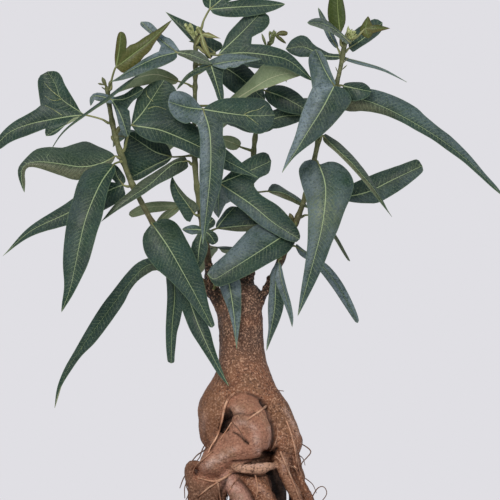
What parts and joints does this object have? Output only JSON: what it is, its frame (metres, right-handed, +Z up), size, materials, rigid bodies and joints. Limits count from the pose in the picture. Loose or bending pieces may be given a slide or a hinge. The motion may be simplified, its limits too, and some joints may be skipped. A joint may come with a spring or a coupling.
{
  "type": "potted bottle tree",
  "caption": "Small tree with a swollen bottle-shaped trunk on bare knotted roots, thin stems and long pointed or lobed leaves, in a plain round pot filled with soil.",
  "frame": {"origin": "middle of the pot's underside", "axes": "+Z up, +X to the right and -Y towards the viewer, as the plant faces the camera"},
  "size_m": [0.4092, 0.2021, 0.571],
  "materials": {
    "clay": "matte unglazed",
    "potting_soil": "rough, crumbly",
    "bark": "rough speckled bark",
    "stem_skin": "matte",
    "leaf_green": "satin",
    "young_leaf": "satin"
  },
  "bodies": {
    "root": {"pot": "clay", "soil": "potting_soil", "trunk": "bark", "stem_left": "stem_skin", "stem_centre": "stem_skin", "stem_back": "stem_skin", "stem_right": "stem_skin", "leaf_left_01": "leaf_green", "leaf_left_02": "young_leaf", "leaf_left_03": "leaf_green", "leaf_left_04": "leaf_green", "leaf_left_05": "leaf_green", "leaf_left_06": "leaf_green", "leaf_left_07": "leaf_green", "leaf_left_08": "leaf_green", "leaf_left_09": "leaf_green", "leaf_left_10": "leaf_green", "leaf_centre_01": "leaf_green", "leaf_centre_02": "leaf_green", "leaf_centre_03": "leaf_green", "leaf_centre_04": "leaf_green", "leaf_centre_05": "leaf_green", "leaf_centre_06": "leaf_green", "leaf_centre_07": "leaf_green", "leaf_centre_08": "leaf_green", "leaf_centre_09": "leaf_green", "leaf_centre_10": "leaf_green", "leaf_centre_11": "leaf_green", "leaf_centre_12": "leaf_green", "leaf_centre_13": "leaf_green", "leaf_centre_14": "leaf_green", "leaf_centre_15": "leaf_green", "leaf_centre_16": "leaf_green", "leaf_centre_17": "leaf_green", "leaf_centre_18": "leaf_green", "leaf_centre_19": "leaf_green", "leaf_back_01": "leaf_green", "leaf_back_02": "leaf_green", "leaf_back_03": "leaf_green", "leaf_back_04": "leaf_green", "leaf_back_05": "leaf_green", "leaf_back_06": "leaf_green", "leaf_right_01": "leaf_green", "leaf_right_02": "leaf_green", "leaf_right_03": "leaf_green", "leaf_right_04": "leaf_green", "leaf_right_05": "leaf_green", "leaf_right_06": "leaf_green", "leaf_right_07": "leaf_green", "leaf_right_08": "young_leaf", "leaf_right_09": "leaf_green", "leaf_right_10": "leaf_green", "leaf_right_11": "leaf_green", "leaf_right_12": "young_leaf", "leaf_right_13": "leaf_green", "leaf_right_14": "leaf_green", "leaf_right_15": "leaf_green", "leaf_right_16": "leaf_green", "leaf_right_17": "leaf_green"}
  },
  "joints": []
}
